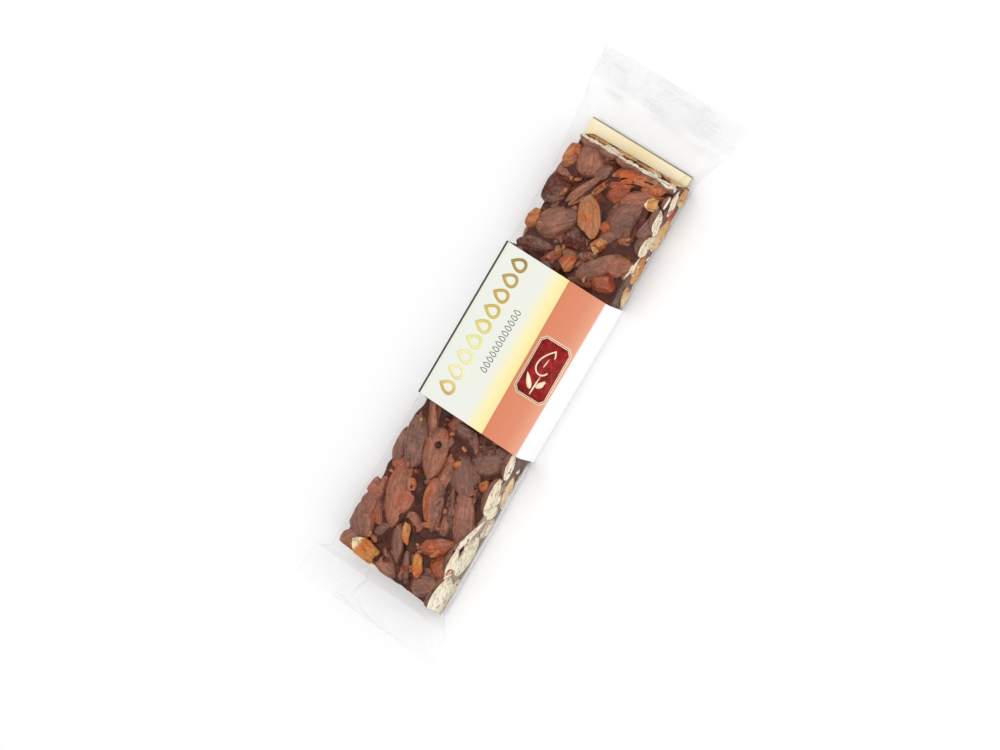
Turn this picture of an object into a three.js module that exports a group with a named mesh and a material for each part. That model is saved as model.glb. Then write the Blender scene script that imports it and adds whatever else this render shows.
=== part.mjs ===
// A bar of almond brittle in its clear flow wrap, with a paper band round the middle.
// Millimetres, +Z up. The pack lies on its flat back: X runs across it, Y along it, and
// the origin is under the middle of the pack, on the surface that it rests on.
// The wrap is sealed and clear, so the bag is one solid out to its film: a flat-bottomed
// box round the bar, two shoulders where the tube of film closes, and two crimped seals.
import * as THREE from "three";

// ---- Driving dimensions ---------------------------------------------------------------
const packLength = 204; // from one sealed edge to the other
const sealWidth = 59; // the tube of film pressed flat
const sealDepth = 11; // how far the crimped seal reaches in from its edge
const sealHeight = 7; // the seals stand at half the height of the bar
const bagWidth = 42.7;
const bagTop = 13.75;

const barStart = -86.5; // the bar lies nearer to one end of its bag
const barLength = 160.4;
const cardReach = 5.2; // the tray card shows past the bar at the far end
const filmSlack = 0.9; // between the end of the bar and the film round it

const bandStart = -28; // the paper band, along Y
const bandEnd = 30;
const paper = 0.35;
const gap = 0.3; // between the film and the paper

const filmEdge = 1.4; // radius of the film along the long edges of the bar
const sealThickness = 0.7;
const sealWave = 0.5; // how far the seals curl up and down across the pack
const sealWaveLength = 37;
const crimpPitch = 1.6;
const crimpHeight = 0.35;
const backSeamWidth = 9; // the lengthwise seam, folded flat under the pack
const backSeamHeight = 0.3;
const hollowDepth = 1.9; // how far the film sinks between the almonds under it
const bodyStep = 1.9; // spacing of the sections over the almonds

// ---- Positions that follow from them --------------------------------------------------
const halfLength = packLength / 2;
const barEnd = barStart + barLength;
const sealStart = halfLength - sealDepth;
const nearShoulder = barStart - filmSlack;
const farShoulder = barEnd + filmSlack;
const cardEnd = barEnd + cardReach + filmSlack;
const bandLift = paper + gap;

// The almonds that press the film up where the two windows show the bar:
// centre x and y, length, width, and the turn of the long axis from +X in degrees.
const almonds = [
  [-8.8, -61.3, 24, 12, -72],
  [-6.2, -42.7, 18.5, 10, -72],
  [-15, -41.8, 20, 9.5, -66],
  [8.3, -44.4, 17.5, 11, -42],
  [12.8, -33.8, 16, 10.5, 47],
  [2.9, -57.1, 18.5, 8, -64],
  [14.3, -56, 20, 9.5, -62],
  [12.3, -68, 15, 7, 38],
  [-16.8, -75.4, 14, 9.5, -52],
  [-1.7, -74.6, 14, 7, -64],
  [-9.7, -81.6, 13, 7, -4],
  [14.6, -81, 11, 9, 30],
  [-11.8, 67.4, 13, 10.5, -59],
  [-17.6, 53.4, 13, 11.5, 20],
  [-10.6, 44.4, 18, 10.5, 45],
  [-13.5, 33.6, 15, 6, 20],
  [-1.3, 51.4, 19, 8.5, -55],
  [4, 68, 12.5, 10, 60],
  [11.1, 65.4, 18, 7.5, 35],
  [9.7, 57, 16, 13.5, 65],
  [16.6, 42.3, 10, 7.5, 30],
  [11.4, 39.1, 19.5, 7.5, 50],
];

// ---- The film's form along the pack ---------------------------------------------------
const clamp = THREE.MathUtils.clamp;
const smooth = (low, high, value) => THREE.MathUtils.smoothstep(value, low, high);

// A value along Y, by straight runs between [y, value] stations.
function along(stations, y) {
  const last = stations.findIndex(([station]) => station >= y);
  if (last <= 0) return stations.at(last)[1];
  const [y0, value0] = stations[last - 1];
  const [y1, value1] = stations[last];
  return value0 + ((value1 - value0) * (y - y0)) / (y1 - y0);
}

const topOf = (y) =>
  along(
    [
      [-halfLength, sealHeight],
      [-sealStart, sealHeight],
      [nearShoulder, bagTop],
      [farShoulder, bagTop],
      [sealStart, sealHeight],
      [halfLength, sealHeight],
    ],
    y,
  );

const bottomOf = (y) =>
  along(
    [
      [-halfLength, sealHeight],
      [-sealStart, sealHeight],
      [nearShoulder - filmSlack / 2, 0],
      [cardEnd, 0],
      [sealStart, sealHeight],
      [halfLength, sealHeight],
    ],
    y,
  );

// How far the film reaches to each side. The tray card lies slightly askew: it pushes the
// film out beside the near end of the cut side, and beside the far end of the other side.
const sideStations = (flare) => [
  [-halfLength, sealWidth / 2],
  [-sealStart, sealWidth / 2 - 0.6],
  ...flare,
  [sealStart, sealWidth / 2 - 0.8],
  [halfLength, sealWidth / 2],
];
const cutSideFlare = [
  [nearShoulder, bagWidth / 2 + 1.1],
  [bandStart - 25, bagWidth / 2 + 0.9],
  [bandStart - 2, bagWidth / 2],
  [farShoulder, bagWidth / 2],
  [cardEnd, bagWidth / 2 + 1],
];
const slackSideFlare = [
  [nearShoulder, bagWidth / 2],
  [bandEnd + 28, bagWidth / 2],
  [farShoulder, bagWidth / 2 + 2],
  [cardEnd, bagWidth / 2 + 3.4],
];
const reachOf = (side, y) => along(sideStations(side > 0 ? cutSideFlare : slackSideFlare), y);

// The crimp of a seal: ridges that run across the pack, from the seal's inner edge outwards.
function crimpOf(y) {
  const depth = Math.abs(y) - sealStart;
  if (depth <= 0) return 0;
  const phase = (depth / crimpPitch) % 1;
  return crimpHeight * (1 - 2 * Math.abs(2 * phase - 1)) * smooth(0, crimpPitch, depth);
}

// The slow curl of a seal across the pack.
const curlOf = (x, y) => sealWave * Math.sin((2 * Math.PI * (x + y)) / sealWaveLength);

// 1 within a stretch of Y and 0 away from it, with a slope outside each of its ends.
const within = (start, end, clear, slope, y) =>
  smooth(start - clear - slope, start - clear, y) * (1 - smooth(end + clear, end + clear + slope, y));

// The film is higher off the surface where the band passes under it.
const waistOf = (y) => bandLift * within(bandStart, bandEnd, 0.3, 0.7, y);

// How far the film sinks between the almonds: nothing on an almond's crown, over the edges
// of the bar or under the band, and all of hollowDepth between them.
function hollowOf(x, y) {
  let crown = 0;
  for (const [centreX, centreY, length, width, turn] of almonds) {
    const angle = THREE.MathUtils.degToRad(turn);
    const dx = x - centreX;
    const dy = y - centreY;
    const lengthwise = (dx * Math.cos(angle) + dy * Math.sin(angle)) / (length / 2);
    const crosswise = (dy * Math.cos(angle) - dx * Math.sin(angle)) / (width / 2);
    crown = Math.max(crown, 1 - 0.75 * (lengthwise ** 2 + crosswise ** 2));
  }
  const clearOfEdges = smooth(0, 3, bagWidth / 2 - filmEdge - Math.abs(x));
  const clearOfEnds = smooth(0, 3, y - barStart) * smooth(0, 3, barEnd - y);
  const clearOfBand = 1 - within(bandStart, bandEnd, 1, 2, y);
  return hollowDepth * (1 - clamp(crown, 0, 1)) * clearOfEdges * clearOfEnds * clearOfBand;
}

// ---- One closed section of the bag, across Y ------------------------------------------
const topSpans = 20;
const cornerSteps = 3;
const sideSpans = 3;
const backSpans = 4;

// A quarter of round edge, from one axis to the other, without its last point.
function cornerPoints(centreX, centreZ, radius, startAngle) {
  const points = [];
  for (let step = 0; step < cornerSteps; step++) {
    const angle = startAngle - (Math.PI / 2) * (step / cornerSteps);
    points.push([centreX + radius * Math.cos(angle), centreZ + radius * Math.sin(angle)]);
  }
  return points;
}

// The points between two ends, without either end.
function between([x0, z0], [x1, z1], spans) {
  const points = [];
  for (let span = 1; span < spans; span++) {
    const share = span / spans;
    points.push([x0 + (x1 - x0) * share, z0 + (z1 - z0) * share]);
  }
  return points;
}

// The ring of [x, z] points at one station, clockwise seen along +Y.
function sectionAt(y) {
  const halfHeight = Math.max((topOf(y) - bottomOf(y)) / 2, sealThickness / 2);
  const flatness = 1 - (2 * halfHeight) / bagTop;
  const middle = (topOf(y) + bottomOf(y)) / 2 + crimpOf(y);
  const top = middle + halfHeight;
  const bottom = middle - halfHeight + waistOf(y);
  const radius = Math.min(filmEdge, (top - bottom) / 2.5);
  const left = radius - reachOf(-1, y);
  const right = reachOf(1, y) - radius;
  const back = bottom + backSeamHeight * clamp(halfHeight / 2, 0.25, 1);
  const ring = [];
  for (let span = 0; span < topSpans; span++) {
    const x = left + ((right - left) * span) / topSpans;
    ring.push([x, top - hollowOf(x, y)]);
  }
  ring.push(...cornerPoints(right, top - radius, radius, Math.PI / 2));
  ring.push([right + radius, top - radius]);
  ring.push(...between([right + radius, top - radius], [right + radius, back + radius], sideSpans));
  ring.push(...cornerPoints(right, back + radius, radius, 0));
  ring.push([right, back]);
  ring.push(...between([right, back], [backSeamHeight, back], backSpans));
  ring.push([backSeamHeight, back], [0, bottom], [-backSeamWidth / 2, bottom]);
  ring.push([-backSeamWidth, bottom], [-backSeamWidth - backSeamHeight, back]);
  ring.push(...between([-backSeamWidth - backSeamHeight, back], [left, back], backSpans));
  ring.push(...cornerPoints(left, back + radius, radius, -Math.PI / 2));
  ring.push([left - radius, back + radius]);
  ring.push(...between([left - radius, back + radius], [left - radius, top - radius], sideSpans));
  ring.push(...cornerPoints(left, top - radius, radius, Math.PI));
  return ring.map(([x, z]) => [x, z + flatness * curlOf(x, y)]);
}

// The places of the sections: two for each ridge of a crimp, close ones over the almonds,
// and few under the band, where the film is flat.
function stationsOfBag() {
  const stations = new Set();
  const run = (from, to, step) => {
    const steps = Math.max(1, Math.round((to - from) / step));
    for (let i = 0; i <= steps; i++) {
      const y = from + ((to - from) * i) / steps;
      stations.add(Number(y.toFixed(4)));
    }
  };
  run(-halfLength, -sealStart, crimpPitch / 2);
  run(-sealStart, nearShoulder - filmSlack / 2, 1.6);
  run(nearShoulder, bandStart - 1, bodyStep);
  run(bandStart - 1, bandStart - 0.3, 1);
  run(bandStart, bandEnd, 15);
  run(bandEnd + 0.3, bandEnd + 1, 1);
  run(bandEnd + 1, farShoulder, bodyStep);
  run(farShoulder, cardEnd, bodyStep);
  run(cardEnd, sealStart, 1.9);
  run(sealStart, halfLength, crimpPitch / 2);
  return [...stations].sort((a, b) => a - b);
}

// Skins the rings and closes both ends.
function loft(stations, sectionFor) {
  const rings = stations.map((y) => sectionFor(y).map(([x, z]) => [x, y, z]));
  const count = rings[0].length;
  const positions = rings.flat(2);
  const faces = [];
  for (let ring = 0; ring + 1 < rings.length; ring++) {
    for (let point = 0; point < count; point++) {
      const next = (point + 1) % count;
      const a = ring * count + point;
      const b = ring * count + next;
      const c = a + count;
      const d = b + count;
      faces.push(a, b, c, b, d, c);
    }
  }
  const nearHub = rings.length * count;
  const farHub = nearHub + 1;
  const lastRing = (rings.length - 1) * count;
  for (const y of [stations[0], stations.at(-1)]) positions.push(0, y, sealHeight + curlOf(0, y));
  for (let point = 0; point < count; point++) {
    const next = (point + 1) % count;
    faces.push(nearHub, next, point, farHub, lastRing + point, lastRing + next);
  }
  const geometry = new THREE.BufferGeometry();
  geometry.setAttribute("position", new THREE.Float32BufferAttribute(positions, 3));
  geometry.setIndex(faces);
  geometry.computeVertexNormals();
  return geometry;
}

// ---- The paper band -------------------------------------------------------------------
function roundedBox(path, halfWidth, low, high, radius) {
  path.moveTo(-halfWidth + radius, low);
  path.lineTo(halfWidth - radius, low);
  path.absarc(halfWidth - radius, low + radius, radius, -Math.PI / 2, 0, false);
  path.lineTo(halfWidth, high - radius);
  path.absarc(halfWidth - radius, high - radius, radius, 0, Math.PI / 2, false);
  path.lineTo(-halfWidth + radius, high);
  path.absarc(-halfWidth + radius, high - radius, radius, Math.PI / 2, Math.PI, false);
  path.lineTo(-halfWidth, low + radius);
  path.absarc(-halfWidth + radius, low + radius, radius, Math.PI, 1.5 * Math.PI, false);
  return path;
}

// A flat tube of paper, folded over the four long edges of the bar.
function bandGeometry() {
  const innerHalf = bagWidth / 2 + gap;
  const innerTop = bagTop + gap;
  const fold = filmEdge + gap;
  const outline = roundedBox(new THREE.Shape(), innerHalf + paper, 0, innerTop + paper, fold + paper);
  outline.holes.push(roundedBox(new THREE.Path(), innerHalf, paper, innerTop, fold));
  const geometry = new THREE.ExtrudeGeometry(outline, {
    depth: bandEnd - bandStart,
    bevelEnabled: false,
    curveSegments: 4,
    steps: 1,
  });
  return geometry.rotateX(Math.PI / 2);
}

// ---- The pack -------------------------------------------------------------------------
const finish = (color, roughness) => new THREE.MeshStandardMaterial({ color, roughness, metalness: 0 });
const brittleThroughFilm = finish(0x6b3a28, 0.35);
const printedPaper = finish(0xeeece4, 0.7);

const bag = new THREE.Mesh(loft(stationsOfBag(), sectionAt), brittleThroughFilm);
bag.name = "film_bag";

const band = new THREE.Mesh(bandGeometry(), printedPaper);
band.name = "paper_band";
band.position.y = bandEnd;

const pack = new THREE.Group();
pack.add(bag, band);

export default pack;
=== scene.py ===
# %% [markdown]
# # A bar of almond brittle in its clear wrap
#
# The real thing is made in five steps, and this file follows them. Whole and broken almonds
# are stirred into caramel, pressed into a slab and cut into bars. A bar goes on a strip of
# gold tray card, a tube of clear film is sealed round both, and a printed paper band is folded
# round the middle. Lengths below are in millimetres, X runs across the pack, Y along it and Z
# up, and each mesh is turned into metres as it is made.

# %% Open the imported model
import math
from collections import namedtuple

import bpy
import numpy as np
from mathutils import Matrix, Vector


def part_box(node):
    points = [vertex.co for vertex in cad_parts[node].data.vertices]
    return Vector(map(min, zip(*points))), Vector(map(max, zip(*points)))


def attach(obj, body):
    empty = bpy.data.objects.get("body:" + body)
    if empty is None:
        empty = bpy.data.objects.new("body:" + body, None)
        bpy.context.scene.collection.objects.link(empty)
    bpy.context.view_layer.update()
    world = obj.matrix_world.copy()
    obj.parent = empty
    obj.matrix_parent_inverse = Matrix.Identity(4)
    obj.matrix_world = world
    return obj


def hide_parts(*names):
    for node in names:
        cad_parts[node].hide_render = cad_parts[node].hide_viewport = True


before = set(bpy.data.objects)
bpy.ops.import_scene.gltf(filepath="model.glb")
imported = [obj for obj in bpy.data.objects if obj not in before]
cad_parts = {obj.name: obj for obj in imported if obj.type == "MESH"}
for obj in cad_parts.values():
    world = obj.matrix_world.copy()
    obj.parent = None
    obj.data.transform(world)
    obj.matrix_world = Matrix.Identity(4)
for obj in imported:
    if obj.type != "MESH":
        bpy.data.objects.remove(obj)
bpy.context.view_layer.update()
MM = 0.001

# %% [markdown]
# ## Sizes
#
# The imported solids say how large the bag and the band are. What lies inside the bag is worked
# out from them: the tray card is as wide as the bar, and the bar ends just short of the film.

# %% Take the sizes from the solids
bag_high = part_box("film_bag")[1] / MM
band_low, band_high = (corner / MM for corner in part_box("paper_band"))

half_length = bag_high.y
seal_width = 2 * bag_high.x
bag_top = bag_high.z
seal_depth = 11.0
seal_height = 7.0
seal_start = half_length - seal_depth
band_start, band_end = band_low.y, band_high.y
paper = 0.35
band_lift = 0.65
bag_half = band_high.x - band_lift

bar_near, bar_far = -86.5, 75.3
cut_side = bag_half - 0.25
mould_side = -19.6
card_low, card_high = 1.05, 1.45
card_half = 21.0
bar_bottom = card_high + 0.05
caramel_level = 9.9
card_far = 79.2
print(f"bag {seal_width:.1f} x {2 * half_length:.1f} x {bag_top:.1f} mm, bar {bar_far - bar_near:.0f} mm")

# %% [markdown]
# ## Tools for shapes
#
# Numpy holds all the points of a shape as rows of one array, so a bump or a bend is one line
# that moves them all. `soft_noise` gives each point a smooth random number: the numbers at the
# corners of a lattice are mixed, so neighbours get nearly the same one. It depends on the
# place alone, so each run gives the same shape.


# %% Smooth random numbers, steps and straight runs
def soft_noise(points, size, seed=0):
    """A number from -1 to 1 at each point, that changes over about this many millimetres."""
    place = np.asarray(points, float) / size + 11.7 * seed + 500
    cell = np.floor(place).astype(np.int64)
    part = place - cell
    part = part * part * (3 - 2 * part)
    total = np.zeros(len(place))
    for corner in np.ndindex(2, 2, 2):
        key = (cell + corner) @ np.array([374761393, 668265263, 1440662683])
        key = (key ^ (key >> 13)) * 1274126177 & 0xFFFFFFFF
        value = ((key ^ (key >> 16)) & 0xFFFF) / 32767.5 - 1
        total += value * np.prod(np.where(corner, part, 1 - part), axis=1)
    return total


def smooth_step(low, high, value):
    """0 below low, 1 above high and an easy curve in between."""
    share = np.clip((value - low) / (high - low), 0, 1)
    return share * share * (3 - 2 * share)


def within(rise, fall, value):
    """1 between a rise and a fall, each given as where it starts and where it ends, and 0 outside."""
    return smooth_step(*rise, value) * smooth_step(*fall[::-1], value)


def along(stations, y):
    """The value at y, by straight runs between (y, value) stations."""
    places, values = zip(*stations)
    return np.interp(y, places, values)


# %% Turn points and faces into a piece
def make_piece(name, points, faces, materials, marks=None, numbers=None):
    """A smooth-shaded mesh from points in millimetres.

    marks are values or vectors kept at its points, and numbers say which material each face has.
    """
    mesh = bpy.data.meshes.new(name)
    mesh.from_pydata((np.asarray(points) * MM).tolist(), [], [list(map(int, f)) for f in faces])
    for material in materials:
        mesh.materials.append(material)
    for label, values in (marks or {}).items():
        values = np.asarray(values, np.float32)
        kind, field = ("FLOAT", "value") if values.ndim == 1 else ("FLOAT_VECTOR", "vector")
        mesh.attributes.new(label, kind, "POINT").data.foreach_set(field, values.ravel())
    mesh.polygons.foreach_set("use_smooth", np.ones(len(mesh.polygons), bool))
    if numbers is not None:
        mesh.polygons.foreach_set("material_index", np.asarray(numbers, np.int32))
    mesh.update()
    made = bpy.data.objects.new(name, mesh)
    bpy.context.scene.collection.objects.link(made)
    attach(made, "root")
    triangles = sum(len(face.vertices) - 2 for face in mesh.polygons)
    print(f"{name}: {len(mesh.vertices)} points, {triangles} triangles")
    return made


def tube_faces(rings, around):
    """Faces that join neighbouring rings of points, for rings that run anticlockwise seen from their end."""
    ring, step = np.meshgrid(np.arange(rings - 1), np.arange(around), indexing="ij")
    a = ring * around + step
    b = ring * around + (step + 1) % around
    return np.stack([a, b, b + around, a + around], -1).reshape(-1, 4)


def closed_tube_faces(rings, around):
    """The same with a fan over each open end, round two more points that come after the rings."""
    first, last = rings * around, rings * around + 1
    end = (rings - 1) * around
    step = np.arange(around)
    after = (step + 1) % around
    near = np.stack([np.full(around, first), after, step], -1)
    far = np.stack([np.full(around, last), end + step, end + after], -1)
    return tube_faces(rings, around).tolist() + near.tolist() + far.tolist()


def rim_faces(rings, around):
    """Faces that join the last ring of points back to the first, as round a hollow shape."""
    last = (rings - 1) * around
    return [[last + i, last + (i + 1) % around, (i + 1) % around, i] for i in range(around)]


# %% [markdown]
# ## Camera and light
#
# The pack lies on a pale table and the camera looks down on it from the cut side, turned so that
# the pack runs from low on the left to high on the right. A long lens from over a metre away
# keeps its sides nearly parallel. Soft light comes from a wide panel overhead, a stronger one
# beside the cut side and a pale room, and leaves only faint shadows, as on a packshot table.

# %% Place the camera
camera_turn = math.radians(105.4)
camera_height = math.radians(65.5)
camera_roll = math.radians(30.55)
camera_distance = 1200.0
camera_aim = Vector((-3.8, -9.8, 2.9))
camera_lens = 130.4


def place_camera():
    """Points the camera from the directions above, with its roll measured from the pack's length."""
    level = math.cos(camera_height)
    back = Vector((math.sin(camera_turn) * level, -math.cos(camera_turn) * level, math.sin(camera_height)))
    side = (-back).cross(Vector((0, 1, 0))).normalized()
    rise = side.cross(-back)
    right = math.cos(camera_roll) * side + math.sin(camera_roll) * rise
    up = right.cross(-back)
    data = bpy.data.cameras.new("camera")
    data.lens = camera_lens
    data.sensor_width = 36.0
    data.clip_end = 20.0
    camera = bpy.data.objects.new("camera", data)
    spot = (camera_aim + camera_distance * back) * MM
    camera.matrix_world = Matrix.Translation(spot) @ Matrix((right, up, back)).transposed().to_4x4()
    bpy.context.scene.collection.objects.link(camera)
    bpy.context.scene.camera = camera


place_camera()


# %% Light the table
def soft_panel(name, place, width, power):
    """A square panel of light that faces the pack."""
    data = bpy.data.lights.new(name, "AREA")
    data.shape = "SQUARE"
    data.size = width * MM
    data.energy = power
    panel = bpy.data.objects.new(name, data)
    panel.location = Vector(place) * MM
    panel.rotation_euler = (-Vector(place)).to_track_quat("-Z", "Y").to_euler()
    bpy.context.scene.collection.objects.link(panel)


soft_panel("panel_overhead", (-400, 150, 940), 905, 2.15)
soft_panel("panel_cut_side", (860, 170, 700), 1080, 4.8)

room = bpy.data.worlds.new("pale_room")
room.use_nodes = True
room.node_tree.nodes["Background"].inputs["Color"].default_value = (1.0, 1.0, 1.0, 1.0)
room.node_tree.nodes["Background"].inputs["Strength"].default_value = 0.78
bpy.context.scene.world = room
bpy.context.scene.view_settings.view_transform = "Standard"

# %% [markdown]
# ## Shader tools
#
# A material is a small graph of nodes. These helpers add a node and join it up in one line, so
# that each material below reads as a list of what it is made of. Effects that several
# materials use are node groups, built once: a group takes values in and gives masks and
# heights back, and the shader itself stays in the material.


# %% Add and join nodes
def set_inputs(tree, made, inputs):
    """Gives a node its inputs: each is a value, or another node's output."""
    for name, value in inputs.items():
        if isinstance(value, bpy.types.NodeSocket):
            tree.links.new(value, made.inputs[name])
        else:
            made.inputs[name].default_value = value
    return made


def node(tree, kind, inputs=None, **settings):
    """A new node with its settings and its inputs."""
    made = tree.nodes.new(kind)
    for name, value in settings.items():
        setattr(made, name, value)
    return set_inputs(tree, made, inputs or {})


def mark(tree, name, output="Fac"):
    """A value or a vector kept at the points of the mesh."""
    return node(tree, "ShaderNodeAttribute", attribute_name=name).outputs[output]


# %% Values that vary over the surface
def calculate(tree, operation, first, second=0.5, third=0.5):
    """One step of arithmetic."""
    return node(tree, "ShaderNodeMath", {0: first, 1: second, 2: third}, operation=operation).outputs[0]


def times(tree, first, second, plus=0.0):
    """One value times another, plus a third."""
    return calculate(tree, "MULTIPLY_ADD", first, second, plus)


def above(tree, value, low, high):
    """0 where a value is below low, 1 where it is above high, and a straight rise in between."""
    return node(tree, "ShaderNodeMapRange", {"Value": value, "From Min": low, "From Max": high}).outputs[0]


def noise(tree, place, scale, detail):
    """Cloudy noise from 0 to 1."""
    values = {"Vector": place, "Scale": scale, "Detail": detail}
    return node(tree, "ShaderNodeTexNoise", values).outputs["Fac"]


def bump(tree, height, strength, depth):
    """A surface that seems to rise and fall with height, by up to this many millimetres."""
    values = {"Height": height, "Strength": strength, "Distance": depth * MM}
    return node(tree, "ShaderNodeBump", values).outputs[0]


# %% Colours
def rgb(red, green, blue):
    """A colour as seen on screen, from 0 to 255, in the linear numbers that shaders work in."""
    screen = (np.array([red, green, blue]) / 255).tolist()
    return *(c / 12.92 if c <= 0.04045 else ((c + 0.055) / 1.055) ** 2.4 for c in screen), 1.0


def ramp(tree, factor, *stops):
    """Colours along a factor. A stop is a place from 0 to 1 with a colour's red, green and blue."""
    made = node(tree, "ShaderNodeValToRGB", {"Fac": factor})
    strip = made.color_ramp
    while len(strip.elements) < len(stops):
        strip.elements.new(0.5)
    for element, (place, *colour) in zip(strip.elements, stops):
        element.position = place
        element.color = rgb(*colour)
    return made.outputs["Color"]


def blend(tree, factor, first, second, kind="MIX"):
    """Two colours mixed by a factor."""
    inputs = {0: factor, 6: first, 7: second}
    return node(tree, "ShaderNodeMix", inputs, data_type="RGBA", blend_type=kind).outputs[2]


# %% Materials and groups
def new_material(name):
    """An empty material with its output and a Principled shader."""
    material = bpy.data.materials.new(name)
    material.use_nodes = True
    return material, material.node_tree, material.node_tree.nodes["Principled BSDF"]


def new_group(name, inputs, outputs):
    """A node group that takes a place and these numbers, and gives these values back."""
    tree = bpy.data.node_groups.new(name, "ShaderNodeTree")
    tree.interface.new_socket("Vector", in_out="INPUT", socket_type="NodeSocketVector")
    for label, value in inputs.items():
        tree.interface.new_socket(label, in_out="INPUT", socket_type="NodeSocketFloat").default_value = value
    for label in outputs:
        tree.interface.new_socket(label, in_out="OUTPUT", socket_type="NodeSocketFloat")
    return tree, tree.nodes.new("NodeGroupInput").outputs, tree.nodes.new("NodeGroupOutput").inputs


# %% Group: mottling, uneven colour in two sizes
mottling, given, result = new_group("mottling", {"Size": 4.0, "Fine share": 0.4}, ["Mask"])
inverse = calculate(mottling, "DIVIDE", 1.0, given["Size"])
broad = noise(mottling, given["Vector"], inverse, 2.0)
fine = noise(mottling, given["Vector"], times(mottling, inverse, 5.0), 3.0)
mixed = node(mottling, "ShaderNodeMix", {0: given["Fine share"], 2: broad, 3: fine})
mottling.links.new(mixed.outputs[0], result["Mask"])


def mottled(tree, place, size, fine_share=0.4):
    """The mottling at a place, from 0 to 1."""
    inputs = {"Vector": place, "Size": size, "Fine share": fine_share}
    return node(tree, "ShaderNodeGroup", inputs, node_tree=mottling).outputs["Mask"]


# %% Group: grooves, fine lines that run one way
grooves, given, result = new_group("grooves", {"Spacing": 0.8, "Stretch": 9.0}, ["Valley", "Height"])
shrink = calculate(grooves, "DIVIDE", 1.0, given["Stretch"])
squeeze = node(grooves, "ShaderNodeCombineXYZ", {"X": shrink, "Y": 1.0, "Z": 1.0}).outputs[0]
drawn = node(grooves, "ShaderNodeVectorMath", {0: given["Vector"], 1: squeeze}, operation="MULTIPLY")
lines = noise(grooves, drawn.outputs[0], calculate(grooves, "DIVIDE", 1.0, given["Spacing"]), 3.0)
off_middle = calculate(grooves, "ABSOLUTE", calculate(grooves, "SUBTRACT", lines, 0.5))
ridge = calculate(grooves, "MINIMUM", times(grooves, off_middle, 7.0), 1.0)
grooves.links.new(ridge, result["Height"])
grooves.links.new(calculate(grooves, "SUBTRACT", 1.0, ridge), result["Valley"])


def grooved(tree, place, spacing, stretch):
    """The grooves at a place: Valley is 1 at their bottom, and Height is 0 there."""
    inputs = {"Vector": place, "Spacing": spacing, "Stretch": stretch}
    return node(tree, "ShaderNodeGroup", inputs, node_tree=grooves).outputs

# %% [markdown]
# ## Almond and caramel finishes
#
# A roasted almond has a dry, red-brown skin with lengthwise wrinkles, whose bottoms are painted
# darker as shade. Where a nut is cut or broken its pale heart shows, cream where it is raw and
# golden to orange where caramel has soaked in. One material does all of this: the mesh tells it, at
# each point, whether it is skin or heart (`heart`), which nut it is (`tone`, `toast`), and where
# the point lies on the nut (`grain`), so that the wrinkles follow every nut however it lies.


# %% Almond: skin outside, heart where it is cut
def almond_material():
    material, tree, shader = new_material("almond")
    grain = mark(tree, "grain", "Vector")
    patches = mottled(tree, grain, 5.0)
    specks = mottled(tree, grain, 0.9, 0.5)
    wrinkles = grooved(tree, grain, 1.5, 7.0)
    skin = ramp(
        tree, times(tree, patches, 1.1, calculate(tree, "SUBTRACT", mark(tree, "tone"), 0.55)),
        (0.0, 84, 30, 14), (0.12, 98, 44, 28), (0.26, 126, 91, 78), (0.42, 142, 93, 74),
        (0.58, 168, 106, 80), (0.72, 162, 72, 42), (0.86, 196, 112, 58), (1.0, 162, 114, 78),
    )
    # Painted shade: the skin is multiplied by a grey that is darker in the bottoms of the wrinkles. The
    # specks in it are the skin's own uneven colour.
    wrinkle_shade_and_specks = times(tree, wrinkles["Valley"], -0.3, times(tree, specks, 1.4, 0.38))
    grey = node(tree, "ShaderNodeCombineColor", {0: wrinkle_shade_and_specks, 1: wrinkle_shade_and_specks, 2: wrinkle_shade_and_specks}).outputs[0]
    skin = blend(tree, 1.0, skin, grey, "MULTIPLY")

    spots = mottled(tree, grain, 3.0, 0.6)
    flesh = ramp(
        tree, times(tree, spots, 0.5, calculate(tree, "SUBTRACT", mark(tree, "toast"), 0.25)),
        (0.0, 254, 246, 222), (0.3, 244, 222, 178), (0.5, 212, 156, 88),
        (0.68, 206, 110, 48), (0.85, 190, 70, 38), (1.0, 124, 36, 18),
    )
    fibres = calculate(tree, "POWER", grooved(tree, grain, 0.7, 4.0)["Valley"], 2.0)
    flesh = blend(tree, times(tree, fibres, 0.22), flesh, rgb(150, 104, 66))
    cracks = calculate(tree, "POWER", grooved(tree, grain, 2.4, 3.0)["Valley"], 7.0)
    flesh = blend(tree, times(tree, cracks, 0.66), flesh, rgb(84, 60, 40))

    edge = times(tree, spots, 0.3, mark(tree, "heart"))
    bare = above(tree, edge, 0.62, 0.74)
    skin = blend(tree, above(tree, edge, 0.5, 0.62), skin, rgb(62, 36, 24))
    glaze = times(tree, above(tree, patches, 0.4, 0.6), calculate(tree, "SUBTRACT", 1.0, bare))
    set_inputs(tree, shader, {
        "Base Color": blend(tree, bare, skin, flesh),
        "Roughness": times(tree, patches, 0.3, 0.36),
        "Specular IOR Level": 0.16,
        "Coat Weight": times(tree, glaze, 0.5, 0.1),
        "Coat Roughness": 0.1,
        "Normal": bump(tree, times(tree, specks, 1.2, wrinkles["Height"]), 0.7, 0.32),
    })
    return material


almond = almond_material()


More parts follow.
